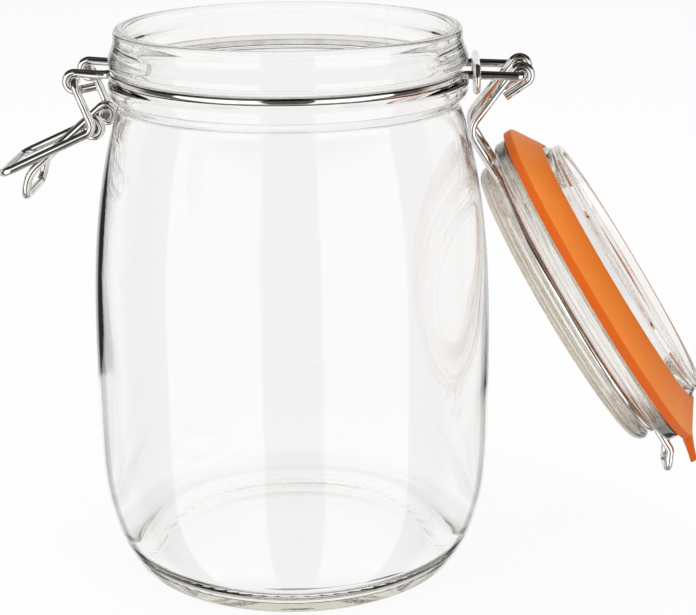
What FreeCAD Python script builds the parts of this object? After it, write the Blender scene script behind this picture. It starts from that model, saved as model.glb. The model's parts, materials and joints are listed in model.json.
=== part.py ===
"""Clip-top canning jar of about one litre, standing open and empty.

A revolved glass jar carries two wire halves in its neck groove.  At the back they end in inward
pins for the lid's hooks, and a flat oval ring ties them together.  At the front they end in eyes
for the lever, and the lever carries the wire catch.  The glass lid hangs from the back pins and
leans on the jar's shoulder, with its coned rubber gasket round the plug.

Millimetres, +Z up, origin at the middle of the foot.  The hinge is at +X and the latch at -X.
"""
import FreeCAD
import Part
import math
import os

V = FreeCAD.Vector

# Jar glass, outside
foot_radius = 44.8
foot_ring_inner_radius = 39.0
foot_ring_width = 4.4
foot_ring_edge_run = 1.6
foot_ring_edge_rise = 0.5
push_up = 3.6
body_radius = 53.5
heel_height = 42.0
heel_power = 3.3
shoulder_start_height = 45.0
shoulder_power = 3.1
neck_height = 127.0
neck_radius = 44.4
lip_height = 146.5
lip_outer_radius = 45.2
lip_thickness = 3.0
lip_rounding = 1.45

# Neck finish: two beads with the wire's groove between them
wire_height = 134.9
groove_floor_radius = 44.5
groove_depth_top = 2.3
groove_depth_bottom = 2.7
groove_half_width = 1.75
bead_width = 3.4
bead_rounding = 1.0

# Jar glass, inside
wall_thickness = 3.2
neck_inner_radius = 42.0
floor_thickness = 2.4
floor_crown = 1.2
inner_heel_rounding = 9.0

# Wire stock and its fits
wire_diameter = 2.2
pin_clearance = 0.08
seat_clearance = 0.05
side_clearance = 0.3
wire_corner = 2.5

# Front eyes, on the neck wires
eye_reach = 54.4
eye_half_spacing = 9.6
eye_arm_rise = 0.4
eye_tail_length = 5.2
eye_tail_rise = 12.0

# Back pins and the oval clip ring, on the neck wires
hinge_reach = 60.25
hinge_arm_half_spacing = 9.4
hinge_arm_drop = 0.4
hinge_pin_corner = 1.3
hinge_pin_length = 4.4
arm_bend_rounding = 12.0
arm_bend_distance = 2.0
clip_wire_diameter = 1.9
clip_width = 29.0
clip_slack = 1.7
clip_distance = 48.7

# Lever
lever_leg_run = 4.8
lever_leg_drop = 12.3
lever_handle_run = 25.0
lever_handle_drop = 11.5
lever_tip_half_width = 12.8
lever_pin_corner = 1.7
lever_elbow_corner = 2.4
lever_tip_corner = 3.0
lever_end_inset = 1.85
catch_pin_head_radius = 1.75
catch_pin_head_thickness = 0.8

# Catch
catch_heading = 221.2
catch_straight_length = 21.0
catch_hook_run = 1.5
catch_hook_drop = 6.5
catch_bend_radius = 9.0
catch_tip_half_width = 10.3
catch_end_corner = 3.2
catch_eye_turn = 300.0

# Lid glass: heights are down from the underside of the flange, towards the plug
lid_hang_angle = 32.3
flange_radius = 45.8
flange_thickness = 3.8
lid_groove_height = 3.9
lid_groove_floor_radius = 39.4
cap_radius = 42.1
cap_thickness = 3.3
cap_top_rounding = 2.3
plug_clearance = 3.0
plug_taper = 1.6
plug_depth = 11.3
plug_wall = 3.6
plug_ceiling_height = 6.4
lid_dish_depth = 0.5
glass_rounding = 1.2

# Lid wire
lid_wire_ring_clearance = 0.1
lid_knee_half_spacing = 8.6
lid_knee_reach = 55.6
lid_knee_corner = 4.6
lid_hook_tail_length = 6.6
lid_hook_closing = 18.0
lid_hook_straight = 5.0
lid_hook_bend = 12.0
tongue_half_width = 4.4
tongue_straight = 50.5
tongue_reach = 55.6
tongue_rise = 3.6
tongue_bend = 3.0
tongue_end_corner = 3.2

# Gasket
gasket_outer_radius = 47.4
gasket_thickness = 2.0
gasket_squeezed = 1.2
gasket_cone_depth = 5.3
gasket_rounding = 0.5
gasket_inner_clearance = 0.05
gasket_flange_clearance = 0.05
gasket_tab_width = 14.0
gasket_tab_reach = 56.0
gasket_tab_lift = 2.6

# Derived
wire_radius = wire_diameter / 2.0
eye_radius = wire_diameter + pin_clearance
neck_wire_radius = groove_floor_radius + seat_clearance + wire_radius
seat_height = lip_height + gasket_squeezed
plug_radius = neck_inner_radius - plug_clearance
plug_bottom_radius = plug_radius - plug_taper
pivot_height = wire_height + eye_arm_rise - eye_radius
hinge_height = wire_height - hinge_arm_drop
lid_hook_half_spacing = hinge_arm_half_spacing - wire_diameter - side_clearance
lever_leg_half_spacing = eye_half_spacing + wire_diameter + side_clearance
catch_eye_half_spacing = lever_leg_half_spacing - wire_diameter - side_clearance


def one_solid(shape):
    """The single solid inside a result of joining pieces."""
    return shape.Solids[0]


def unit(vector):
    return V(vector).normalize()


def rounded_path(corners):
    """Edges through corners given as (point, rounding); each rounding is a tangent arc."""
    edges = []
    here = corners[0][0]
    for index in range(1, len(corners) - 1):
        corner, rounding = corners[index]
        back = unit(corners[index - 1][0] - corner)
        ahead = unit(corners[index + 1][0] - corner)
        half_angle = back.getAngle(ahead) / 2.0
        if rounding <= 0.0 or abs(half_angle - math.pi / 2.0) < 1e-6:
            edges.append(Part.makeLine(here, corner))
            here = corner
            continue
        trim = rounding / math.tan(half_angle)
        arc_start = corner + back * trim
        arc_end = corner + ahead * trim
        inward = unit(back + ahead)
        arc_middle = corner + inward * (rounding / math.sin(half_angle) - rounding)
        if here.distanceToPoint(arc_start) > 1e-5:
            edges.append(Part.makeLine(here, arc_start))
        edges.append(Part.Arc(arc_start, arc_middle, arc_end).toShape())
        here = arc_end
    if here.distanceToPoint(corners[-1][0]) > 1e-5:
        edges.append(Part.makeLine(here, corners[-1][0]))
    return edges


def arc_about(centre, first, second, start, stop):
    """Arc of the circle centre + cos a * first + sin a * second, from angle start to stop in degrees."""
    def at(angle):
        a = math.radians(angle)
        return centre + first * math.cos(a) + second * math.sin(a)
    return Part.Arc(at(start), at((start + stop) / 2.0), at(stop)).toShape()


def swept_wire(edges, diameter):
    """Round wire of one diameter along a smooth run of edges."""
    path = Part.Wire(edges)
    first = path.Edges[0]
    start = first.valueAt(first.FirstParameter)
    heading = first.tangentAt(first.FirstParameter)
    if first.Orientation == "Reversed":
        start = first.valueAt(first.LastParameter)
        heading = first.tangentAt(first.LastParameter) * -1.0
    section = Part.Wire([Part.makeCircle(diameter / 2.0, start, heading)])
    solid = path.makePipeShell([section], True, False)
    if solid.Volume < 0.0:
        solid.reverse()
    return solid


def revolved(edges):
    """Solid of revolution about Z of a closed outline in the XZ plane."""
    face = Part.Face(Part.Wire(edges))
    solid = face.revolve(V(0, 0, 0), V(0, 0, 1), 360.0)
    return Part.makeSolid(solid) if solid.ShapeType == "Shell" else solid


def outline_corner(radius, height, rounding=0.0):
    return (V(radius, 0, height), rounding)


def spline_through(points):
    curve = Part.BSplineCurve()
    curve.interpolate([V(radius, 0, height) for radius, height in points])
    return curve.toShape()


def outer_wall_radius(height):
    """Outside radius of the glass between the foot and the neck."""
    if height < shoulder_start_height:
        rise = max(0.0, 1.0 - height / heel_height)
        return foot_radius + (body_radius - foot_radius) * (1.0 - rise ** heel_power)
    share = (height - shoulder_start_height) / (neck_height - shoulder_start_height)
    return body_radius - (body_radius - neck_radius) * share ** shoulder_power


def inner_wall_radius(height):
    """Inside radius of the glass from the straight wall to the neck."""
    body_inner_radius = body_radius - wall_thickness
    share = max(0.0, (height - shoulder_start_height) / (neck_height - shoulder_start_height))
    return body_inner_radius - (body_inner_radius - neck_inner_radius) * min(1.0, share) ** shoulder_power


def jar_glass():
    """Whole jar as one revolve: push-up, heel, shoulder, beaded neck, rounded lip and hollow inside."""
    ring_outer_radius = foot_ring_inner_radius + foot_ring_width
    heel_first = heel_height / 50.0
    wall_heights = [heel_first]
    wall_heights += [heel_height * share for share in (0.08, 0.2, 0.4, 0.68)]
    wall_heights += [shoulder_start_height]
    shoulder_rise = neck_height - shoulder_start_height
    wall_heights += [shoulder_start_height + shoulder_rise * share for share in (0.25, 0.5, 0.7, 0.85, 0.96)]
    outside = [(outer_wall_radius(height), height) for height in wall_heights]
    wall_end = outside[-1]
    groove_bottom = wire_height - groove_half_width
    groove_top = wire_height + groove_half_width
    lower_bead_radius = groove_floor_radius + groove_depth_bottom
    upper_bead_radius = groove_floor_radius + groove_depth_top
    bead_slope = 0.6
    inner_top = neck_height + bead_slope
    finish = [
        outline_corner(*wall_end),
        outline_corner(neck_radius, neck_height, 2.0),
        outline_corner(lower_bead_radius, groove_bottom - bead_width - bead_slope, bead_rounding),
        outline_corner(lower_bead_radius, groove_bottom - bead_slope, bead_rounding),
        outline_corner(groove_floor_radius, groove_bottom + bead_slope, 0.5),
        outline_corner(groove_floor_radius, groove_top - bead_slope, 0.5),
        outline_corner(upper_bead_radius, groove_top + bead_slope, bead_rounding),
        outline_corner(upper_bead_radius, groove_top + bead_width - bead_slope, bead_rounding),
        outline_corner(lip_outer_radius, groove_top + bead_width + bead_slope, 1.0),
        outline_corner(lip_outer_radius, lip_height, lip_rounding),
        outline_corner(lip_outer_radius - lip_thickness, lip_height, lip_rounding),
        outline_corner(neck_inner_radius, inner_top),
    ]
    floor_edge_height = push_up + floor_thickness - floor_crown
    body_inner_radius = body_radius - wall_thickness
    inside_heights = [inner_top] + [wall_heights[index] for index in (9, 8, 7, 6, 5)]
    inside = [(inner_wall_radius(height), height) for height in inside_heights]
    inner_heel = [
        outline_corner(*inside[-1]),
        outline_corner(body_inner_radius, floor_edge_height, inner_heel_rounding),
        outline_corner(0.0, floor_edge_height + floor_crown),
    ]
    dome_radius = foot_ring_inner_radius - foot_ring_edge_run
    dome_middle = V(dome_radius / 2.0, 0, push_up - (push_up - foot_ring_edge_rise) / 4.0)
    dome_edge = V(dome_radius, 0, foot_ring_edge_rise)
    edges = [
        Part.Arc(V(0, 0, push_up), dome_middle, dome_edge).toShape(),
        Part.makeLine(dome_edge, V(foot_ring_inner_radius, 0, 0)),
        Part.makeLine(V(foot_ring_inner_radius, 0, 0), V(ring_outer_radius, 0, 0)),
        Part.makeLine(V(ring_outer_radius, 0, 0), V(outside[0][0], 0, outside[0][1])),
        spline_through(outside),
    ]
    edges += rounded_path(finish)
    edges.append(spline_through(inside))
    edges += rounded_path(inner_heel)
    edges.append(Part.makeLine(V(0, 0, floor_edge_height + floor_crown), V(0, 0, push_up)))
    return revolved(edges)


def ring_exit(ring_radius, half_spacing, toward, side):
    """Where a wire leaves its ring to run straight out at half_spacing: tangent points and arc middle.

    toward is +1 or -1 along X and side is +1 or -1 along Y.
    """
    centre_y = half_spacing + wire_corner
    centre_x = math.sqrt((ring_radius + wire_corner) ** 2 - centre_y ** 2)
    centre = V(centre_x, centre_y, 0)
    on_ring = unit(centre) * ring_radius
    on_leg = V(centre_x, half_spacing, 0)
    middle = centre + unit(unit(centre * -1.0) + V(0, -1, 0)) * wire_corner
    return [V(point.x * toward, point.y * side, 0) for point in (on_ring, middle, on_leg)]


def neck_wire(side):
    """One half of the neck wire: open eye in front, half turn in the groove, back arm and its pin."""
    lift = V(0, 0, wire_height)
    front_ring, front_middle, front_leg = ring_exit(neck_wire_radius, eye_half_spacing, -1, side)
    back_ring, back_middle, back_leg = ring_exit(neck_wire_radius, hinge_arm_half_spacing, 1, side)
    eye_y = eye_half_spacing * side
    eye_centre = V(-eye_reach, eye_y, pivot_height)
    turn_end = 270.0 + eye_tail_rise
    tail_angle = math.radians(eye_tail_rise)
    turn_point = eye_centre + V(math.sin(tail_angle), 0, -math.cos(tail_angle)) * eye_radius
    tail_end = turn_point + V(math.cos(tail_angle), 0, math.sin(tail_angle)) * eye_tail_length
    edges = [
        Part.makeLine(tail_end, turn_point),
        arc_about(eye_centre, V(eye_radius, 0, 0), V(0, 0, eye_radius), turn_end, 90.0),
    ]
    edges += rounded_path([
        (V(-eye_reach, eye_y, pivot_height + eye_radius), 0.0),
        (front_leg + lift - V(arm_bend_distance, 0, 0), arm_bend_rounding),
        (front_leg + lift, 0.0),
    ])
    edges += [
        Part.Arc(front_leg + lift, front_middle + lift, front_ring + lift).toShape(),
        Part.Arc(front_ring + lift, V(0, neck_wire_radius * side, wire_height), back_ring + lift).toShape(),
        Part.Arc(back_ring + lift, back_middle + lift, back_leg + lift).toShape(),
    ]
    arm_y = hinge_arm_half_spacing * side
    pin_end_y = (hinge_arm_half_spacing - hinge_pin_length) * side
    edges += rounded_path([
        (back_leg + lift, 0.0),
        (back_leg + lift + V(arm_bend_distance, 0, 0), arm_bend_rounding),
        (V(hinge_reach, arm_y, hinge_height), hinge_pin_corner),
        (V(hinge_reach, pin_end_y, hinge_height), 0.0),
    ])
    return swept_wire(edges, wire_diameter)


def clip_ring():
    """Flat oval ring of thinner wire round both back arms, close behind the neck."""
    top_height = wire_radius + seat_clearance + clip_wire_diameter / 2.0
    half_height = top_height + clip_slack / 2.0
    half_straight = clip_width / 2.0 - clip_wire_diameter / 2.0 - half_height
    centre = V(clip_distance, 0, wire_height - clip_slack / 2.0)
    top_start = centre + V(0, -half_straight, half_height)
    top_end = centre + V(0, half_straight, half_height)
    edges = [Part.makeLine(top_start, top_end)]
    for side in (1, -1):
        edges.append(Part.Arc(
            centre + V(0, half_straight * side, half_height * side),
            centre + V(0, (half_straight + half_height) * side, 0),
            centre + V(0, half_straight * side, -half_height * side)).toShape())
        if side == 1:
            edges.append(Part.makeLine(
                centre + V(0, half_straight, -half_height), centre + V(0, -half_straight, -half_height)))
    return swept_wire(edges, clip_wire_diameter)


def elbow_centre():
    """Middle of the lever's elbow, where the catch's pin stands."""
    pivot = V(-eye_reach, 0, pivot_height)
    corner = pivot + V(lever_leg_run, 0, -lever_leg_drop)
    back = unit(pivot - corner)
    ahead = unit(V(-lever_handle_run, 0, -lever_handle_drop))
    half_angle = back.getAngle(ahead) / 2.0
    return corner + unit(back + ahead) * (lever_elbow_corner / math.sin(half_angle) - lever_elbow_corner)


def lever():
    """One wire: ends turned in through the neck wires' eyes, legs, elbows and a U handle; two catch pins."""
    leg_y = lever_leg_half_spacing
    end_y = eye_half_spacing - lever_end_inset
    corner = V(lever_leg_run - eye_reach, 0, pivot_height - lever_leg_drop)
    tip = corner + V(-lever_handle_run, 0, -lever_handle_drop)

    def half(side):
        return [
            (V(-eye_reach, end_y * side, pivot_height), 0.0),
            (V(-eye_reach, leg_y * side, pivot_height), lever_pin_corner),
            (corner + V(0, leg_y * side, 0), lever_elbow_corner),
            (tip + V(0, lever_tip_half_width * side, 0), lever_tip_corner),
        ]
    solid = swept_wire(rounded_path(half(-1) + half(1)[::-1]), wire_diameter)
    pin_seat_y = catch_eye_half_spacing - wire_radius - side_clearance
    elbow = elbow_centre()
    for side in (-1, 1):
        pin = Part.makeCylinder(
            wire_radius, leg_y - pin_seat_y, elbow + V(0, leg_y * side, 0), V(0, -side, 0))
        head = Part.makeCylinder(
            catch_pin_head_radius, catch_pin_head_thickness,
            elbow + V(0, pin_seat_y * side, 0), V(0, -side, 0))
        rim = [edge for edge in head.Edges if abs(edge.BoundBox.YMin * side - pin_seat_y) > 0.1
               and edge.BoundBox.YLength < 0.01]
        head = head.makeFillet(catch_pin_head_thickness * 0.5, rim)
        solid = solid.fuse(pin).fuse(head)
    return one_solid(solid)


def catch():
    """One wire: an eye round each pin of the lever, two strands and an end bar that goes over the tongue."""
    elbow = elbow_centre()
    eye_y = catch_eye_half_spacing
    heading = math.radians(catch_heading)
    along = V(math.cos(heading), 0, math.sin(heading))
    upward = V(along.z, 0, -along.x)
    strand_start = elbow + upward * eye_radius
    bend = strand_start + along * catch_straight_length
    end = bend + V(-catch_hook_run, 0, -catch_hook_drop)

    def eye(side):
        offset = V(0, eye_y * side, 0)
        return arc_about(elbow + offset, upward * eye_radius, along * -eye_radius, catch_eye_turn, 0.0)

    def half(side):
        offset = V(0, eye_y * side, 0)
        tip_offset = V(0, catch_tip_half_width * side, 0)
        return [
            (strand_start + offset, 0.0),
            (bend + tip_offset, catch_bend_radius),
            (end + tip_offset, catch_end_corner),
        ]
    far_eye = eye(1)
    edges = [eye(-1)] + rounded_path(half(-1) + half(1)[::-1])
    edges.append(far_eye)
    return swept_wire(edges, wire_diameter)


def lid_glass():
    """Lid as one revolve in its own frame: local Z is down from the flange's underside towards the plug."""
    groove_top = -flange_thickness - lid_groove_height
    cap_top = groove_top - cap_thickness
    cap_lower_rounding = cap_thickness - cap_top_rounding - 0.02
    plug_inner_radius = plug_bottom_radius - plug_wall
    corners = [
        outline_corner(0.0, cap_top + lid_dish_depth),
        outline_corner(cap_radius - 7.0, cap_top + lid_dish_depth, 6.0),
        outline_corner(cap_radius - 5.0, cap_top, 3.0),
        outline_corner(cap_radius, cap_top, cap_top_rounding),
        outline_corner(cap_radius, groove_top, cap_lower_rounding),
        outline_corner(lid_groove_floor_radius, groove_top + 0.3, 0.8),
        outline_corner(lid_groove_floor_radius, -flange_thickness - 0.3, 0.8),
        outline_corner(flange_radius, -flange_thickness, glass_rounding),
        outline_corner(flange_radius, 0.0, glass_rounding),
        outline_corner(plug_radius, 0.0, 0.6),
        outline_corner(plug_radius, plug_depth * 0.62, 2.0),
        outline_corner(plug_bottom_radius, plug_depth * 0.8, 1.2),
        outline_corner(plug_bottom_radius, plug_depth, glass_rounding),
        outline_corner(plug_inner_radius, plug_depth, glass_rounding),
        outline_corner(plug_inner_radius - 1.4, -plug_ceiling_height * 0.7, 4.0),
        outline_corner(0.0, -plug_ceiling_height),
    ]
    edges = rounded_path(corners)
    edges.append(Part.makeLine(corners[-1][0], corners[0][0]))
    return revolved(edges)


def lid_wire():
    """One wire round the lid's groove: tongue at the front, legs, knees and open hooks for the back pins."""
    ring_radius = lid_groove_floor_radius + lid_wire_ring_clearance + wire_radius
    ring_height = -flange_thickness - lid_groove_height / 2.0
    lift = V(0, 0, ring_height)
    hinge = V(-hinge_reach, 0, seat_height - hinge_height)
    knee = V(-lid_knee_reach, 0, ring_height)
    to_hinge = hinge - knee
    reach = to_hinge.Length
    straight = unit(to_hinge)
    outward = V(-straight.z, 0, straight.x)
    tilt = math.asin(eye_radius / reach)
    along = straight * math.cos(tilt) + outward * math.sin(tilt)
    across = V(along.z, 0, -along.x)
    closing = math.radians(lid_hook_closing)
    leg_y = lid_knee_half_spacing

    def half(side):
        leg_ring, leg_middle, leg_start = ring_exit(ring_radius, leg_y, -1, side)
        tongue_ring, tongue_middle, tongue_start = ring_exit(ring_radius, tongue_half_width, 1, side)
        hook_offset = V(0, lid_hook_half_spacing * side, 0)
        hook_centre = hinge + hook_offset
        hook_turn = arc_about(
            hook_centre, across * -eye_radius, along * eye_radius, 180.0 + lid_hook_closing, 0.0)
        turn_start = hook_centre + across * (eye_radius * math.cos(closing))
        turn_start -= along * (eye_radius * math.sin(closing))
        tail_heading = along * -math.cos(closing) - across * math.sin(closing)
        hook = [
            Part.makeLine(turn_start + tail_heading * lid_hook_tail_length, turn_start),
            hook_turn,
        ]
        hook += rounded_path([
            (hook_centre - across * eye_radius, 0.0),
            (hook_centre - across * eye_radius - along * lid_hook_straight, lid_hook_bend),
            (knee + V(0, leg_y * side, 0), lid_knee_corner),
            (leg_start + lift, 0.0),
        ])
        ring = [
            Part.Arc(leg_start + lift, leg_middle + lift, leg_ring + lift).toShape(),
            Part.Arc(leg_ring + lift, V(0, ring_radius * side, ring_height), tongue_ring + lift).toShape(),
            Part.Arc(tongue_ring + lift, tongue_middle + lift, tongue_start + lift).toShape(),
        ]
        tongue = [
            (tongue_start + lift, 0.0),
            (V(tongue_straight, tongue_half_width * side, ring_height), tongue_bend),
            (V(tongue_reach, tongue_half_width * side, ring_height - tongue_rise), tongue_end_corner),
        ]
        return hook + ring, tongue

    near_run, near_tongue = half(-1)
    far_run, far_tongue = half(1)
    edges = near_run + rounded_path(near_tongue + far_tongue[::-1]) + far_run[::-1]
    return swept_wire(edges, wire_diameter)


def gasket():
    """Coned rubber ring stretched round the plug, with its pull tab at the tongue's end."""
    inner_radius = plug_radius + gasket_inner_clearance
    top = gasket_flange_clearance
    slope = unit(V(inner_radius - gasket_outer_radius, 0, gasket_cone_depth))
    thick = V(-slope.z, 0, slope.x) * -gasket_thickness
    outer_top = V(gasket_outer_radius, 0, top)
    inner_top = V(inner_radius, 0, top + gasket_cone_depth)
    drop = gasket_thickness / abs(slope.x)
    corners = [
        (outer_top + (inner_top - outer_top) * 0.5, 0.0),
        (inner_top, gasket_rounding),
        (inner_top + V(0, 0, drop), gasket_rounding),
        (outer_top + V(0, 0, drop), gasket_rounding),
        (outer_top, gasket_rounding),
        (outer_top + (inner_top - outer_top) * 0.5, 0.0),
    ]
    ring = revolved(rounded_path(corners))
    root = V(gasket_outer_radius - 2.0, 0, top + drop * 0.5 + 0.6)
    end = V(gasket_tab_reach, 0, -gasket_tab_lift + 1.0)
    along = unit(end - root)
    normal = V(-along.z, 0, along.x)
    half = gasket_tab_width / 2.0
    base = root - normal * (gasket_thickness / 2.0)
    length = (end - root).Length
    side = V(0, half, 0)
    face = Part.Face(Part.Wire(rounded_path([
        (base - side, 0.0),
        (base - side + along * length, half * 0.6),
        (base + side + along * length, half * 0.6),
        (base + side, 0.0),
        (base - side, 0.0),
    ])))
    tab = face.extrude(normal * gasket_thickness)
    return one_solid(ring.fuse(tab))


def on_open_lid(shape):
    """Carries a shape from the lid's own frame to the open lid, leaning on the jar."""
    hang = math.radians(lid_hang_angle)
    forward = V(math.sin(hang), 0, -math.cos(hang))
    underside = V(math.cos(hang), 0, math.sin(hang))
    hinge = V(hinge_reach, 0, hinge_height)
    origin = hinge + forward * hinge_reach - underside * (seat_height - hinge_height)
    matrix = FreeCAD.Matrix(
        forward.x, 0, underside.x, origin.x,
        0, 1, 0, origin.y,
        forward.z, 0, underside.z, origin.z,
        0, 0, 0, 1)
    placed = shape.copy()
    placed.Placement = FreeCAD.Placement(matrix)
    return placed


nodes = {
    "jar_glass": jar_glass(),
    "neck_wire_near": neck_wire(-1),
    "neck_wire_far": neck_wire(1),
    "clip_ring": clip_ring(),
    "lever": lever(),
    "catch": catch(),
    "lid_glass": on_open_lid(lid_glass()),
    "lid_wire": on_open_lid(lid_wire()),
    "gasket": on_open_lid(gasket()),
}

os.makedirs("parts", exist_ok=True)
for name, shape in nodes.items():
    shape.exportStep("parts/" + name + ".step")
    print(name, shape.ShapeType, shape.isValid(), round(shape.Volume, 1), shape.BoundBox)
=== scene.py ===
"""Looks of a clip-top canning jar that stands open and empty: clear glass, bright steel wire, orange rubber.

The jar, the lid and the rubber ring are surfaces worked out here in millimetres, put into meshes in metres.
"""
import bpy
import json
import math
import numpy as np
from mathutils import Matrix, Vector


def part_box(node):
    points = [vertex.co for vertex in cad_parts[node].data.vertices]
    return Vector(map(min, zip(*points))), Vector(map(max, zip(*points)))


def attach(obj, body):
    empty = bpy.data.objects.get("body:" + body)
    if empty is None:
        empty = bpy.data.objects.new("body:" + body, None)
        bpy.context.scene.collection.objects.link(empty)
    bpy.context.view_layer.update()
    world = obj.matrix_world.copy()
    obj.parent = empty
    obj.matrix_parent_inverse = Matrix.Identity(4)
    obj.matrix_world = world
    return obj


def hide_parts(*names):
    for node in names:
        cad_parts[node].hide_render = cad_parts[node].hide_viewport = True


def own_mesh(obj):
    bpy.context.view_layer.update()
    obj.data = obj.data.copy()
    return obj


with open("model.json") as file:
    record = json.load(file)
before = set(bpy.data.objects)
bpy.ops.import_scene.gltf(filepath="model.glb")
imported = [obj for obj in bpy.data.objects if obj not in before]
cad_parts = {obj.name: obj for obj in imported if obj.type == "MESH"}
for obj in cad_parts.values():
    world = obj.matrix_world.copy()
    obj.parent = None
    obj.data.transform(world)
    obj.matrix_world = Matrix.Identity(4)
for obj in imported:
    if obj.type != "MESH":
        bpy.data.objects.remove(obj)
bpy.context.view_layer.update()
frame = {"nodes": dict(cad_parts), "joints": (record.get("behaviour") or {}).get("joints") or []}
MM = 0.001

# ---------------------------------------------------------------- where the CAD puts things, in millimetres
joints = {joint["name"]: joint for joint in frame["joints"]}
jar_low, jar_high = (np.array(corner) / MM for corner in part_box("jar_glass"))
BODY_RADIUS = jar_high[0]
LIP_HEIGHT = jar_high[2]
HINGE_REACH, _, HINGE_HEIGHT = np.array(joints["lid_hinge"]["pos_m"]) / MM
SHUT_TURN = 270.0
LID_HANG = math.radians(SHUT_TURN - joints["lid_hinge"]["range_deg"][1])
RUBBER_SQUEEZED = 1.2
SEAT_HEIGHT = LIP_HEIGHT + RUBBER_SQUEEZED
LID_FORWARD = np.array([math.sin(LID_HANG), 0.0, -math.cos(LID_HANG)])
LID_ACROSS = np.array([0.0, 1.0, 0.0])
LID_UNDERSIDE = np.array([math.cos(LID_HANG), 0.0, math.sin(LID_HANG)])
LID_ORIGIN = (np.array([HINGE_REACH, 0.0, HINGE_HEIGHT]) + LID_FORWARD * HINGE_REACH
              - LID_UNDERSIDE * (SEAT_HEIGHT - HINGE_HEIGHT))


# ---------------------------------------------------------------- surfaces
def grid_faces(rows, columns, close_rows=False):
    """Quads between neighbouring rows and columns of a point grid whose columns close on themselves."""
    row = np.arange(rows if close_rows else rows - 1)[:, None]
    column = np.arange(columns)[None, :]
    here = row * columns
    above = (row + 1) % rows * columns
    right = (column + 1) % columns
    quads = np.broadcast_arrays(here + column, here + right, above + right, above + column)
    return np.stack(quads, -1).reshape(-1, 4)


def make_piece(name, points, faces, body, slot, material, stands_for):
    """A smooth mesh in metres from points in millimetres, riding on its body and standing for its node."""
    mesh = bpy.data.meshes.new(name)
    mesh.from_pydata((np.asarray(points) * MM).tolist(), [], [list(face) for face in faces])
    mesh.polygons.foreach_set("use_smooth", np.ones(len(mesh.polygons), bool))
    mesh.materials.append(material)
    mesh.update()
    made = bpy.data.objects.new(name, mesh)
    bpy.context.scene.collection.objects.link(made)
    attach(made, body)
    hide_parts(stands_for)
    return made


def corner_arc(before, corner, after, rounding, arc_step):
    """Points of the arc that touches both runs at a corner, one for every arc_step degrees or less."""
    back = (before - corner) / np.linalg.norm(before - corner)
    ahead = (after - corner) / np.linalg.norm(after - corner)
    half = math.acos(np.clip(back @ ahead, -1.0, 1.0)) / 2.0
    trim = rounding / math.tan(half)
    bisector = (back + ahead) / np.linalg.norm(back + ahead)
    centre = corner + bisector * rounding / math.sin(half)
    sweep = math.pi - 2.0 * half
    count = max(3, int(math.ceil(math.degrees(sweep) / arc_step)) + 1)
    share = np.linspace(0.0, 1.0, count)[:, None]
    first = corner + back * trim - centre
    last = corner + ahead * trim - centre
    return centre + (first * np.sin((1.0 - share) * sweep) + last * np.sin(share * sweep)) / math.sin(sweep)


def rounded_outline(corners, step, arc_step=11.0):
    """Outline through (radius, height, rounding) corners. Each corner becomes its tangent arc, and each run
    between two arcs is cut into equal steps."""
    corners = np.array(corners, float)
    here = corners[0, :2]
    points = [here[None, :]]
    for index in range(1, len(corners)):
        corner, rounding = corners[index, :2], corners[index, 2]
        if index == len(corners) - 1 or rounding <= 0.0:
            arc = corner[None, :]
        else:
            arc = corner_arc(corners[index - 1, :2], corner, corners[index + 1, :2], rounding, arc_step)
        length = np.linalg.norm(arc[0] - here)
        pieces = max(1, int(math.ceil(length / step)))
        points.append(here + (arc[0] - here) * np.linspace(0.0, 1.0, pieces + 1)[1:, None])
        points.append(arc[1:])
        here = arc[-1]
    return np.concatenate(points)


def revolved_grid(outline, turns):
    """An outline carried round the axis: each point is (radius cos turn, radius sin turn, height)."""
    return np.stack([
        outline[:, :1] * np.cos(turns)[None, :],
        outline[:, :1] * np.sin(turns)[None, :],
        np.broadcast_to(outline[:, 1:2], (len(outline), len(turns)))], -1)


def closed_by_poles(grid):
    """Points and faces of a revolved grid whose first and last rows, on the axis, become one point each."""
    rows, columns = grid.shape[:2]
    inner = grid[1:-1].reshape(-1, 3)
    points = np.concatenate([inner, grid[0, :1], grid[-1, :1]])
    first_pole = len(inner)
    last_pole = first_pole + 1
    column = np.arange(columns)
    right = (column + 1) % columns
    last_row = (rows - 3) * columns
    faces = grid_faces(rows - 2, columns).tolist()
    faces += np.stack([np.full(columns, first_pole), right, column], -1).tolist()
    faces += np.stack([last_row + column, last_row + right, np.full(columns, last_pole)], -1).tolist()
    return points, faces


def ramp(value, low, high):
    """Smooth step from 0 at low to 1 at high."""
    share = np.clip((value - low) / (high - low), 0.0, 1.0)
    return share * share * (3.0 - 2.0 * share)


def hump(value, low, high, soft):
    """1 between low and high and 0 outside, with smooth edges of width soft."""
    return ramp(value, low - soft, low) * (1.0 - ramp(value, high, high + soft))


# ---------------------------------------------------------------- jar glass
FOOT_RADIUS = 44.8
FOOT_RING_INNER = 39.0
FOOT_RING_WIDTH = 4.4
FOOT_EDGE_RUN = 1.6
FOOT_EDGE_RISE = 0.3
PUSH_UP = 1.8
HEEL_HEIGHT = 42.0
HEEL_START = HEEL_HEIGHT / 50.0
HEEL_POWER = 3.3
SHOULDER_START = 45.0
SHOULDER_POWER = 3.1
NECK_HEIGHT = 127.0
NECK_RADIUS = 44.4
NECK_BLEND = 3.3
WIRE_HEIGHT = 134.9
GROOVE_LOW = WIRE_HEIGHT - 1.75
GROOVE_HIGH = WIRE_HEIGHT + 1.75
GROOVE_SLANT = 0.6
GROOVE_RADIUS = 44.5
LOW_BEAD = 2.5
HIGH_BEAD = 2.3
LIP_RADIUS = 45.2
LIP_THICKNESS = 3.0
LIP_ROUNDING = 1.45
WALL = 3.2
NECK_INNER = 42.0
NECK_INNER_START = NECK_HEIGHT + 0.6
FLOOR_THICKNESS = 3.2
FLOOR_CROWN = 1.2
INNER_HEEL_ROUNDING = 9.0
KNURLS = 66
KNURL_DEPTH = 0.13
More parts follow.
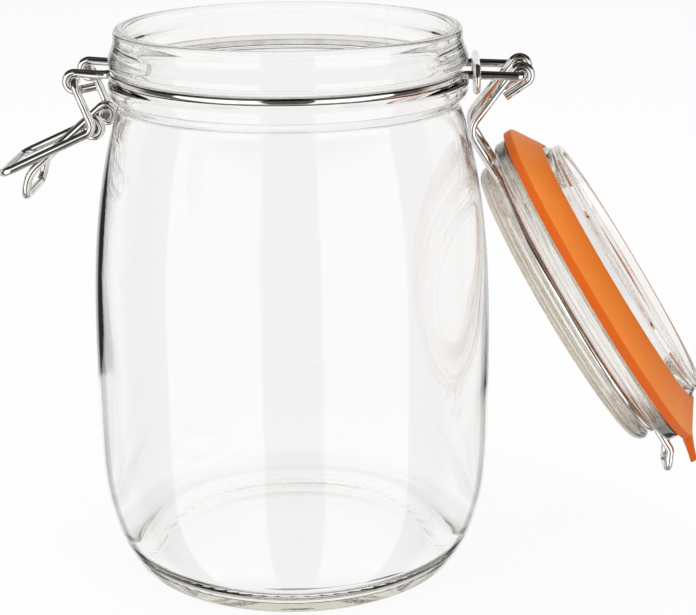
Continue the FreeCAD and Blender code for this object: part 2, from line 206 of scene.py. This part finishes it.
KNURL_BAND = (38.2, 39.3)
KNURL_SOFT = 0.6
POINTS_PER_KNURL = 5
FOOT_BAND = 2.0
LIP_ROWS = 6
UNDERSIDE_ROWS = 22
HEEL_ROWS = 30
BODY_ROWS = 38
INSIDE_ROWS = 36
WAVES_END = (108.0, 132.0)
MOULD_RINGS = ((122.6, 0.13, 0.45), (118.9, 0.07, 0.5))


def shoulder(height, body, neck):
    """Radius at a height: the body's up to the shoulder's start, then a power curve in to the neck's."""
    share = np.clip((height - SHOULDER_START) / (NECK_HEIGHT - SHOULDER_START), 0.0, 1.0)
    return body - (body - neck) * share ** SHOULDER_POWER


def outer_wall(height):
    """Outside radius: a power curve from the foot up the heel, the straight wall, and the shoulder."""
    rise = np.clip(1.0 - height / HEEL_HEIGHT, 0.0, 1.0)
    return shoulder(height, BODY_RADIUS, NECK_RADIUS) - (BODY_RADIUS - FOOT_RADIUS) * rise ** HEEL_POWER


def jar_outline():
    """Outline from the underside's middle out over the foot, up, over the lip and down inside."""
    dome_radius = FOOT_RING_INNER - FOOT_EDGE_RUN
    under = np.linspace(0.0, dome_radius, UNDERSIDE_ROWS)
    push_up = np.stack([under, PUSH_UP - (PUSH_UP - FOOT_EDGE_RISE) * (under / dome_radius) ** 2], -1)
    foot = rounded_outline([
        (dome_radius, FOOT_EDGE_RISE, 0.0),
        (FOOT_RING_INNER, 0.0, 5.0),
        (FOOT_RING_INNER + FOOT_RING_WIDTH, 0.0, 1.2),
        (FOOT_RADIUS, HEEL_START, 0.0)], 0.9)
    heel_heights = HEEL_START + (HEEL_HEIGHT - HEEL_START) * np.linspace(0.0, 1.0, HEEL_ROWS)[1:] ** 1.5
    body_heights = np.linspace(HEEL_HEIGHT, NECK_HEIGHT - NECK_BLEND, BODY_ROWS)[1:]
    wall_heights = np.concatenate([heel_heights, body_heights])
    wall = np.stack([outer_wall(wall_heights), wall_heights], -1)
    finish = rounded_outline([
        (wall[-1, 0], wall[-1, 1], 0.0),
        (NECK_RADIUS, NECK_HEIGHT, 2.6),
        (GROOVE_RADIUS + LOW_BEAD - 0.2, GROOVE_LOW - 3.6, 1.6),
        (GROOVE_RADIUS + LOW_BEAD, GROOVE_LOW - GROOVE_SLANT, 1.2),
        (GROOVE_RADIUS, GROOVE_LOW + GROOVE_SLANT, 0.5),
        (GROOVE_RADIUS, GROOVE_HIGH - GROOVE_SLANT, 0.5),
        (GROOVE_RADIUS + HIGH_BEAD, GROOVE_HIGH + 0.5, 0.9),
        (GROOVE_RADIUS + HIGH_BEAD - 0.1, GROOVE_HIGH + 2.2, 1.6),
        (LIP_RADIUS, GROOVE_HIGH + 6.2, 5.0),
        (LIP_RADIUS, LIP_HEIGHT, LIP_ROUNDING),
        (LIP_RADIUS - LIP_THICKNESS, LIP_HEIGHT, LIP_ROUNDING),
        (NECK_INNER, NECK_INNER_START, 0.0)], 1.1)
    inside_heights = np.linspace(NECK_INNER_START, SHOULDER_START, INSIDE_ROWS)[1:]
    inside = np.stack([shoulder(inside_heights, BODY_RADIUS - WALL, NECK_INNER), inside_heights], -1)
    floor_middle = PUSH_UP + FLOOR_THICKNESS
    heel = rounded_outline([
        (inside[-1, 0], inside[-1, 1], 0.0),
        (BODY_RADIUS - WALL, floor_middle - FLOOR_CROWN, INNER_HEEL_ROUNDING),
        (0.0, floor_middle, 0.0)], 1.9)
    return np.concatenate([push_up, foot[1:], wall, finish[1:], inside, heel[1:]])


def jar_surface():
    """The outline turned round the axis, then worked: a knurled foot, two mould rings under the neck, and
    slow waves, sines of the turn and the height, that make the wall uneven inside and out."""
    outline = jar_outline()
    turns = np.linspace(0.0, 2.0 * math.pi, KNURLS * POINTS_PER_KNURL, endpoint=False)
    grid = revolved_grid(outline, turns)
    radius, height = outline[:, :1], outline[:, 1:2]
    turn = turns[None, :]
    order = np.arange(len(outline))[:, None]
    lip_top = int(np.argmax(outline[:, 1] > LIP_HEIGHT - 0.01))
    inside = order >= lip_top + LIP_ROWS
    low_outside = ~inside & (height < FOOT_BAND)
    # knurls: short radial ribs pressed into the foot ring from below
    knurl = KNURL_DEPTH * (0.5 - 0.5 * np.cos(turn * KNURLS))
    grid[:, :, 2] += np.where(low_outside, knurl * hump(radius, *KNURL_BAND, KNURL_SOFT), 0.0)
    # inside: slow uneven thickness, gone at the lip and at the middle of the floor
    wave = (0.16 * np.sin(2.0 * turn + 0.6 + height * 0.021)
            + 0.10 * np.sin(3.0 * turn + 2.1 - height * 0.034)
            + 0.05 * np.sin(5.0 * turn + height * 0.06)
            + 0.035 * np.sin(height * 0.17 + 2.0 * np.sin(turn + 1.0))
            + 0.03 * np.sin(9.0 * turn + 1.3 * np.sin(height * 0.05)))
    wave *= (1.0 - ramp(height, *WAVES_END)) * ramp(radius, 20.0, 40.0)
    # outside: shallow rings where the neck mould meets the body mould, and a faint wave down the wall
    mould_rings = sum(
        depth * np.exp(-((height - level) / width) ** 2) for level, depth, width in MOULD_RINGS)
    outside_wave = 0.03 * (1.0 + np.sin(3.0 * turn + height * 0.03)) * hump(height, 20.0, 105.0, 14.0)
    inward = np.where(inside, wave, mould_rings + outside_wave)
    scale = 1.0 - np.where(low_outside, 0.0, inward) / np.maximum(radius, 1.0)
    grid[:, :, :2] *= scale[:, :, None]
    return closed_by_poles(grid)


# ---------------------------------------------------------------- lid glass
FLANGE_RADIUS = 45.8
FLANGE_THICKNESS = 3.8
LID_GROOVE_HEIGHT = 3.9
LID_GROOVE_RADIUS = 39.4
LID_GROOVE_SLANT = 0.3
CAP_RADIUS = 42.1
CAP_THICKNESS = 3.3
CAP_TOP_ROUNDING = 2.3
CAP_DISH_RADIUS = CAP_RADIUS - 7.0
CAP_DISH_DEPTH = 0.5
PLUG_RADIUS = 39.0
PLUG_BOTTOM_RADIUS = 37.4
PLUG_DEPTH = 11.3
PLUG_WALL = 2.6
PLUG_CEILING = 6.4
GLASS_ROUNDING = 1.2
TAPER_START = 0.62
TAPER_END = 0.8
LID_TURNS = 300


def on_open_lid(points):
    """Points of the lid's own frame (forward, across, down to the plug) carried to the open lid."""
    return (LID_ORIGIN + points[..., :1] * LID_FORWARD + points[..., 1:2] * LID_ACROSS
            + points[..., 2:] * LID_UNDERSIDE)


def lid_outline():
    """Outline from the cap's middle out over the cap, in and out of the wire's groove, round the flange and
    the plug, and inside the plug to the ceiling's middle."""
    groove_top = -FLANGE_THICKNESS - LID_GROOVE_HEIGHT
    cap_top = groove_top - CAP_THICKNESS
    plug_inner = PLUG_BOTTOM_RADIUS - PLUG_WALL
    return rounded_outline([
        (0.0, cap_top + CAP_DISH_DEPTH, 0.0),
        (CAP_DISH_RADIUS, cap_top + CAP_DISH_DEPTH, 6.0),
        (CAP_DISH_RADIUS + 2.0, cap_top, 3.0),
        (CAP_RADIUS, cap_top, CAP_TOP_ROUNDING),
        (CAP_RADIUS, groove_top, CAP_THICKNESS - CAP_TOP_ROUNDING - 0.02),
        (LID_GROOVE_RADIUS, groove_top + LID_GROOVE_SLANT, 0.8),
        (LID_GROOVE_RADIUS, -FLANGE_THICKNESS - LID_GROOVE_SLANT, 0.8),
        (FLANGE_RADIUS, -FLANGE_THICKNESS, GLASS_ROUNDING),
        (FLANGE_RADIUS, 0.0, GLASS_ROUNDING),
        (PLUG_RADIUS, 0.0, 0.6),
        (PLUG_RADIUS, PLUG_DEPTH * TAPER_START, 2.0),
        (PLUG_BOTTOM_RADIUS, PLUG_DEPTH * TAPER_END, GLASS_ROUNDING),
        (PLUG_BOTTOM_RADIUS, PLUG_DEPTH, GLASS_ROUNDING),
        (plug_inner, PLUG_DEPTH, GLASS_ROUNDING),
        (plug_inner - 1.4, -PLUG_CEILING * 0.7, 4.0),
        (0.0, -PLUG_CEILING, 0.0)], 1.1, 6.5)


def lid_surface():
    """The lid's outline turned round its axis, with shallow rings on the cap and slow waves inside."""
    outline = lid_outline()
    turns = np.linspace(0.0, 2.0 * math.pi, LID_TURNS, endpoint=False)
    grid = revolved_grid(outline, turns)
    radius, depth = outline[:, :1], outline[:, 1:2]
    turn = turns[None, :]
    ceiling = (np.arange(len(outline))[:, None] > len(outline) // 2) & (depth < -3.0)
    wave = 0.04 * np.sin(2.0 * turn + radius * 0.12) + 0.02 * np.sin(3.0 * turn - radius * 0.2 + 1.0)
    grid[:, :, 2] += np.where(ceiling, wave * ramp(radius, 2.0, 12.0), 0.0)
    cap = (depth < -10.0) & (radius < CAP_DISH_RADIUS - 1.0)
    grid[:, :, 2] += np.where(cap, 0.02 + 0.02 * np.sin(radius * 1.1), 0.0)
    points, faces = closed_by_poles(grid)
    return on_open_lid(points), faces


# ---------------------------------------------------------------- rubber ring
RUBBER_INNER = 39.05
RUBBER_OUTER = 47.4
RUBBER_TOP = 0.05
RUBBER_CONE = 5.3
RUBBER_DROP = 2.37
TAB_HALF_WIDTH = 7.0
TAB_REACH = 55.9
TAB_TURN = 13.0
TAB_CORNER = 1.1
TAB_SLOPE = 0.30
TAB_ROOT = RUBBER_OUTER - 1.0
SIDE_FLATNESS = 0.16
FACE_FLATNESS = 0.24
SECTION_POINTS = 72
TAB_TURNS = 150
REST_TURNS = 300
TAB_THINNING = 0.12


def rubber_surface():
    """A coned band round the plug. Its outer edge is a circle that reaches out to the tab's outline, the
    smooth minimum of the distances to the tab's end and sides. Its section is a superellipse about the
    middle of the band. The marks say how far out a point lies, for the face's painted shade, and where the
    outer rim face lies, for the painted shade on that rim."""
    near_tab = np.linspace(-TAB_TURN, TAB_TURN, TAB_TURNS)
    rest = np.linspace(TAB_TURN, 360.0 - TAB_TURN, REST_TURNS)[1:-1]
    turns = np.radians(np.concatenate([near_tab, rest]))
    ahead = np.where(np.cos(turns) > 0.0, np.cos(turns), 1e-3)
    to_end = TAB_REACH / ahead
    to_side = np.minimum(TAB_HALF_WIDTH / np.maximum(np.abs(np.sin(turns)), 1e-3), 200.0)
    tab = -np.log(np.exp(-to_end * TAB_CORNER) + np.exp(-to_side * TAB_CORNER)) / TAB_CORNER
    outer = np.where(np.cos(turns) > 0.0, np.maximum(RUBBER_OUTER, tab), RUBBER_OUTER)
    around = np.linspace(0.0, 2.0 * math.pi, SECTION_POINTS, endpoint=False)[:, None]
    across = np.sign(np.cos(around)) * np.abs(np.cos(around)) ** SIDE_FLATNESS
    through = np.sign(np.sin(around)) * np.abs(np.sin(around)) ** FACE_FLATNESS
    radius = (RUBBER_INNER + outer) / 2.0 + (outer - RUBBER_INNER) / 2.0 * across
    cone_level = RUBBER_TOP + RUBBER_CONE * (RUBBER_OUTER - radius) / (RUBBER_OUTER - RUBBER_INNER)
    tab_level = RUBBER_TOP - TAB_SLOPE * np.maximum(radius - TAB_ROOT, 0.0)
    level = np.where(radius > RUBBER_OUTER, tab_level, cone_level)
    thin = 1.0 - TAB_THINNING * ramp(radius, RUBBER_OUTER, RUBBER_OUTER + 3.0)
    depth = level + (1.0 + through * thin) * RUBBER_DROP / 2.0
    points = np.stack([radius * np.cos(turns), radius * np.sin(turns), depth], -1)
    faces = grid_faces(*radius.shape, close_rows=True)[:, ::-1]
    # marks for painted shade: outward darkens the face towards its inner edge, the rim mark darkens the
    # outer rim face
    marks = {"painted_rim_shade": ramp(across, 0.93, 0.985), "outward": 0.5 + 0.5 * across}
    marks = {name: np.broadcast_to(mark, radius.shape).reshape(-1) for name, mark in marks.items()}
    return on_open_lid(points.reshape(-1, 3)), faces.tolist(), marks


# ---------------------------------------------------------------- nodes
def add_node(tree, kind, inputs=None, **settings):
    """A node with its settings, and its inputs given as values or as sockets to link."""
    node = tree.nodes.new(kind)
    for name, value in settings.items():
        setattr(node, name, value)
    for name, value in (inputs or {}).items():
        if isinstance(value, bpy.types.NodeSocket):
            tree.links.new(value, node.inputs[name])
        else:
            node.inputs[name].default_value = value
    return node


def calculate(tree, operation, *values):
    """Result of a Math node on its values, each a number or a socket."""
    return add_node(tree, "ShaderNodeMath", dict(enumerate(values)), operation=operation).outputs[0]


def remap(tree, value, start, end, low=0.0, high=1.0, way="LINEAR"):
    """The value's range from start to end carried to the range from low to high."""
    ends = {"Value": value, "From Min": start, "From Max": end, "To Min": low, "To Max": high}
    return add_node(tree, "ShaderNodeMapRange", ends, interpolation_type=way).outputs["Result"]


def choose(tree, share, when_no, when_yes, kind="FLOAT", way="MIX"):
    """A number or a colour that is when_yes where share is 1 and when_no where it is 0."""
    share_in, no_in, yes_in, out = {"FLOAT": (0, 2, 3, 0), "RGBA": (0, 6, 7, 2)}[kind]
    inputs = {share_in: share, no_in: when_no, yes_in: when_yes}
    return add_node(tree, "ShaderNodeMix", inputs, data_type=kind, blend_type=way).outputs[out]


def noise(tree, scale, detail):
    """Value of a noise texture in the piece's own coordinates."""
    place = add_node(tree, "ShaderNodeTexCoord").outputs["Object"]
    texture = add_node(tree, "ShaderNodeTexNoise", {"Vector": place, "Scale": scale, "Detail": detail})
    return texture.outputs["Fac"]


def two_tones(tree, value, low, low_colour, high, high_colour):
    """Colour ramp with two stops."""
    node = add_node(tree, "ShaderNodeValToRGB", {"Fac": value})
    for stop, position, colour in zip(node.color_ramp.elements, (low, high), (low_colour, high_colour)):
        stop.position = position
        stop.color = (*colour, 1.0)
    return node.outputs["Color"]


def bumped(tree, height, strength, distance):
    """Normal of a surface raised by a height value, with the distance in metres."""
    raised = add_node(tree, "ShaderNodeBump", {"Height": height, "Strength": strength, "Distance": distance})
    return raised.outputs["Normal"]


# ---------------------------------------------------------------- materials
def new_material(name):
    """An empty node material with its Principled shader and output."""
    made = bpy.data.materials.new(name)
    made.use_nodes = True
    tree = made.node_tree
    tree.nodes.clear()
    shader = add_node(tree, "ShaderNodeBsdfPrincipled")
    output = add_node(tree, "ShaderNodeOutputMaterial", {"Surface": shader.outputs[0]})
    return made, tree, shader, output


def pressed_glass(name, tint, depth_colour, depth_density, smudge_scale, ripple_depth):
    """Clear soda-lime glass: a faint tint with depth, slow ripples in its skin, and a breath of smudges."""
    made, tree, shader, output = new_material(name)
    shader.inputs["Base Color"].default_value = (*tint, 1.0)
    shader.inputs["IOR"].default_value = 1.52
    shader.inputs["Transmission Weight"].default_value = 1.0
    ripples = calculate(tree, "MULTIPLY_ADD", noise(tree, 320.0, 2.0), 0.12, noise(tree, 55.0, 1.0))
    tree.links.new(bumped(tree, ripples, 0.4, ripple_depth), shader.inputs["Normal"])
    smudges = remap(tree, noise(tree, smudge_scale, 3.0), 0.58, 0.8, 0.0, 0.03)
    tree.links.new(smudges, shader.inputs["Roughness"])
    depth = {"Color": (*depth_colour, 1.0), "Density": depth_density}
    tree.links.new(add_node(tree, "ShaderNodeVolumeAbsorption", depth).outputs[0], output.inputs["Volume"])
    # a shadow ray passes almost straight through, so that the glass throws the pale shadow of clear glass
    is_shadow = add_node(tree, "ShaderNodeLightPath").outputs["Is Shadow Ray"]
    clear = add_node(tree, "ShaderNodeBsdfTransparent", {"Color": (0.93, 0.93, 0.93, 1.0)})
    looks = {0: is_shadow, 1: shader.outputs[0], 2: clear.outputs[0]}
    surface = add_node(tree, "ShaderNodeMixShader", looks)
    tree.links.new(surface.outputs[0], output.inputs["Surface"])
    return made


def bright_wire(name):
    """Polished drawn steel wire: fine scratches and a slightly uneven polish."""
    made, tree, shader, _ = new_material(name)
    shader.inputs["Metallic"].default_value = 1.0
    patches = noise(tree, 240.0, 3.0)
    tone = two_tones(tree, patches, 0.3, (0.60, 0.58, 0.55), 0.62, (0.80, 0.785, 0.76))
    tree.links.new(tone, shader.inputs["Base Color"])
    tree.links.new(remap(tree, patches, 0.3, 0.7, 0.10, 0.035), shader.inputs["Roughness"])
    tree.links.new(bumped(tree, noise(tree, 2600.0, 2.0), 0.25, 0.00002), shader.inputs["Normal"])
    return made


def orange_rubber(name):
    """Moulded natural rubber: satin and mottled, with painted shade: the face lighter towards the outer edge
    and darker towards its inner edge beside the glass, and a darker, redder painted shade on the outer rim
    face.
    """
    made, tree, shader, _ = new_material(name)
    outward = add_node(tree, "ShaderNodeAttribute", attribute_name="outward").outputs["Fac"]
    painted_rim_shade = add_node(tree, "ShaderNodeAttribute", attribute_name="painted_rim_shade").outputs["Fac"]
    # painted shade: the face goes from lighter at its outer edge to darker at its inner edge beside the
    # glass
    band = two_tones(tree, outward, 0.10, (0.675, 0.160, 0.014), 0.90, (0.790, 0.228, 0.031))
    mottle = two_tones(tree, noise(tree, 90.0, 4.0), 0.25, (0.93, 0.91, 0.88), 0.75, (1.0, 1.0, 1.0))
    face = choose(tree, 1.0, band, mottle, "RGBA", "MULTIPLY")
    # painted shade: the outer rim face, turned away from the lamps, gets a darker red
    colour = choose(tree, painted_rim_shade, face, (0.665, 0.118, 0.009, 1.0), "RGBA")
    tree.links.new(colour, shader.inputs["Base Color"])
    shader.inputs["Roughness"].default_value = 0.48
    shader.inputs["Specular IOR Level"].default_value = 0.16
    shader.inputs["Subsurface Weight"].default_value = 0.08
    shader.inputs["Subsurface Radius"].default_value = (1.0, 0.35, 0.1)
    shader.inputs["Subsurface Scale"].default_value = 0.0012
    tree.links.new(bumped(tree, noise(tree, 1700.0, 3.0), 0.35, 0.00004), shader.inputs["Normal"])
    return made


# ---------------------------------------------------------------- pieces
jar_look = pressed_glass("clear_jar_glass", (0.992, 0.989, 0.992), (0.86, 0.845, 0.775), 22.0, 22.0, 0.00008)
lid_look = pressed_glass("clear_lid_glass", (0.994, 0.991, 0.990), (0.885, 0.855, 0.77), 21.0, 30.0, 0.00002)
wire_look = bright_wire("bright_steel_wire")
rubber_look = orange_rubber("orange_seal_rubber")

make_piece("jar_body", *jar_surface(), "jar", "clear_glass", jar_look, "jar_glass")
make_piece("lid_body", *lid_surface(), "lid", "clear_glass", lid_look, "lid_glass")
rubber_points, rubber_faces, rubber_marks = rubber_surface()
rubber_ring = make_piece(
    "rubber_ring", rubber_points, rubber_faces, "lid", "orange_rubber", rubber_look, "gasket")
for mark_name, mark in rubber_marks.items():
    rubber_ring.data.attributes.new(mark_name, "FLOAT", "POINT").data.foreach_set("value", mark)
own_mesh(rubber_ring)

for node_name in ("neck_wire_near", "neck_wire_far", "clip_ring", "lever", "catch", "lid_wire"):
    for material_slot in frame["nodes"][node_name].material_slots:
        material_slot.material = wire_look

# ---------------------------------------------------------------- studio
# Places round are in degrees from the front, right positive. Places up are the direction's z. 1 is white.
LEFT_BOX = (-71.0, -13.0)
RIGHT_BOX = (21.0, 73.0)
BOX_EDGE = 1.2
LEFT_CARD = (-150.0, -136.0)
RIGHT_CARD = (146.0, 160.0)
CARD_EDGE = 3.0
BACKDROP_EDGE = (92.0, 112.0)
FLOOR_EDGE = (-0.93, -0.80)
MIRRORED_ROOF_EDGE = (0.22, 0.44)
BENT_ROOF_EDGE = (0.35, 0.75)
MIRRORED_BOX = 1.50
MIRRORED_SIDES = 0.12
MIRRORED_BACKDROP = 0.80
MIRRORED_FLOOR = 0.40
MIRRORED_ROOF = 0.06
MIRRORED_CARD_SHADE = 0.92
BENT_BACKDROP = 0.972
BENT_ROOF = 0.82
BENT_CARD_SHADE = 0.12
DIFFUSE_LEVEL = 0.55
WHITE = (1.0, 1.0, 1.0, 1.0)


def azimuth_band(tree, azimuth, ends, soft):
    """1 where the azimuth lies between the two ends, in degrees, with soft edges."""
    low, high = ends
    rise = remap(tree, azimuth, math.radians(low - soft), math.radians(low + soft), way="SMOOTHSTEP")
    fall = remap(tree, azimuth, math.radians(high - soft), math.radians(high + soft), 1.0, 0.0, "SMOOTHSTEP")
    return calculate(tree, "MULTIPLY", rise, fall)


def studio_levels(tree, direction):
    """Brightness of the surroundings by direction. Mirrors see two front softboxes, dark sides, a dark roof
    and two dark cards that draw the glass's edges. Clear glass bends to a white backdrop."""
    parts = add_node(tree, "ShaderNodeSeparateXYZ", {0: direction}).outputs
    azimuth = calculate(tree, "ARCTAN2", parts["X"], calculate(tree, "MULTIPLY", parts["Y"], -1.0))
    boxes = calculate(tree, "ADD", azimuth_band(tree, azimuth, LEFT_BOX, BOX_EDGE),
                      azimuth_band(tree, azimuth, RIGHT_BOX, BOX_EDGE))
    cards = calculate(tree, "ADD", azimuth_band(tree, azimuth, LEFT_CARD, CARD_EDGE),
                      azimuth_band(tree, azimuth, RIGHT_CARD, CARD_EDGE))
    start, end = (math.radians(edge) for edge in BACKDROP_EDGE)
    backdrop = remap(tree, calculate(tree, "ABSOLUTE", azimuth), start, end, way="SMOOTHSTEP")
    mirrored = calculate(tree, "MULTIPLY_ADD", boxes, MIRRORED_BOX, MIRRORED_SIDES)
    mirrored = calculate(tree, "MULTIPLY_ADD", backdrop, MIRRORED_BACKDROP, mirrored)
    above_floor = remap(tree, parts["Z"], *FLOOR_EDGE, way="SMOOTHSTEP")
    mirrored = choose(tree, above_floor, MIRRORED_FLOOR, mirrored)
    shade = calculate(tree, "MULTIPLY_ADD", cards, -MIRRORED_CARD_SHADE, 1.0)
    mirrored = calculate(tree, "MULTIPLY", mirrored, shade)
    roof = remap(tree, parts["Z"], *MIRRORED_ROOF_EDGE, 1.0, MIRRORED_ROOF, "SMOOTHSTEP")
    mirrored = calculate(tree, "MULTIPLY", mirrored, roof)
    bent = calculate(tree, "MULTIPLY_ADD", cards, -BENT_CARD_SHADE, BENT_BACKDROP)
    roof = remap(tree, parts["Z"], *BENT_ROOF_EDGE, 1.0, BENT_ROOF, "SMOOTHSTEP")
    return mirrored, calculate(tree, "MULTIPLY", bent, roof)


world = bpy.data.worlds.new("studio")
bpy.context.scene.world = world
world.use_nodes = True
tree = world.node_tree
tree.nodes.clear()
mirrored, bent = studio_levels(tree, add_node(tree, "ShaderNodeTexCoord").outputs["Generated"])
path = add_node(tree, "ShaderNodeLightPath").outputs
level = choose(tree, path["Is Glossy Ray"], DIFFUSE_LEVEL, mirrored)
level = choose(tree, path["Is Transmission Ray"], level, bent)
level = choose(tree, path["Is Camera Ray"], level, 1.0)
background = add_node(tree, "ShaderNodeBackground", {"Color": WHITE, "Strength": level})
add_node(tree, "ShaderNodeOutputWorld", {"Surface": background.outputs[0]})

# The floor takes the jar's shadow. Mirrors and glass see through it to the studio, which goes on below it.
FLOOR_HALF = 6.0
FLOOR_DROP = 0.00005
FLOOR_WHITE_SHARE = 0.88
floor_corners = [(-1, -1), (1, -1), (1, 1), (-1, 1)]
floor_mesh = bpy.data.meshes.new("studio_floor")
floor_mesh.from_pydata([(x * FLOOR_HALF, y * FLOOR_HALF, 0.0) for x, y in floor_corners], [], [(0, 1, 2, 3)])
floor = bpy.data.objects.new("studio_floor", floor_mesh)
bpy.context.scene.collection.objects.link(floor)
floor.location.z = -FLOOR_DROP
floor_look = bpy.data.materials.new("pale_floor")
floor_look.use_nodes = True
tree = floor_look.node_tree
tree.nodes.clear()
path = add_node(tree, "ShaderNodeLightPath").outputs
white = add_node(tree, "ShaderNodeEmission", {"Color": WHITE, "Strength": 1.0})
matt = add_node(tree, "ShaderNodeBsdfDiffuse", {"Color": (0.86, 0.86, 0.86, 1.0)})
open_floor = add_node(tree, "ShaderNodeBsdfTransparent", {"Color": WHITE})
white_share = calculate(tree, "MULTIPLY", path["Is Camera Ray"], FLOOR_WHITE_SHARE)
seen = add_node(tree, "ShaderNodeMixShader", {0: white_share, 1: matt.outputs[0], 2: white.outputs[0]})
through = calculate(tree, "MAXIMUM", path["Is Glossy Ray"], path["Is Transmission Ray"])
surface = add_node(tree, "ShaderNodeMixShader", {0: through, 1: seen.outputs[0], 2: open_floor.outputs[0]})
add_node(tree, "ShaderNodeOutputMaterial", {"Surface": surface.outputs[0]})
floor_mesh.materials.append(floor_look)

LAMP_AIM = Vector((0.0, 0.0, 0.08))


def soft_lamp(name, place, width, height, power):
    """A soft area lamp, in metres and watts, that isn't itself seen in glass or steel."""
    data = bpy.data.lights.new(name, "AREA")
    data.shape = "RECTANGLE"
    data.size, data.size_y, data.energy = width, height, power
    lamp = bpy.data.objects.new(name, data)
    bpy.context.scene.collection.objects.link(lamp)
    lamp.location = place
    lamp.rotation_euler = (LAMP_AIM - Vector(place)).to_track_quat("-Z", "Y").to_euler()
    lamp.visible_glossy = False
    lamp.visible_transmission = False


soft_lamp("left_softbox", (-0.9, -0.75, 0.75), 0.8, 0.9, 6.0)
soft_lamp("right_softbox", (0.95, -0.8, 0.7), 0.8, 0.9, 6.0)
soft_lamp("top_softbox", (0.0, 0.25, 1.3), 1.2, 1.2, 7.0)

# ---------------------------------------------------------------- camera
YAW, PITCH, ROLL = math.radians(-3.002), math.radians(17.880), math.radians(-0.440)
CAMERA_PLACE = (0.03776, -0.43417, 0.20978)
CAMERA_LENS = 86.80
SENSOR_WIDTH = 36.0
forward = Vector((math.sin(YAW) * math.cos(PITCH), math.cos(YAW) * math.cos(PITCH), -math.sin(PITCH)))
level_right = Vector((math.cos(YAW), -math.sin(YAW), 0.0))
level_up = level_right.cross(forward)
right = math.cos(ROLL) * level_right + math.sin(ROLL) * level_up
up = -math.sin(ROLL) * level_right + math.cos(ROLL) * level_up
camera_data = bpy.data.cameras.new("view")
camera_data.sensor_width = SENSOR_WIDTH
camera_data.lens = CAMERA_LENS
camera = bpy.data.objects.new("view", camera_data)
bpy.context.scene.collection.objects.link(camera)
camera_axes = Matrix((right, up, -forward)).transposed()
camera.matrix_world = Matrix.Translation(CAMERA_PLACE) @ camera_axes.to_4x4()
bpy.context.scene.camera = camera

bpy.context.scene.view_settings.view_transform = "Standard"
bpy.context.scene.cycles.max_bounces = 24
bpy.context.scene.cycles.transmission_bounces = 24
bpy.context.scene.cycles.glossy_bounces = 12
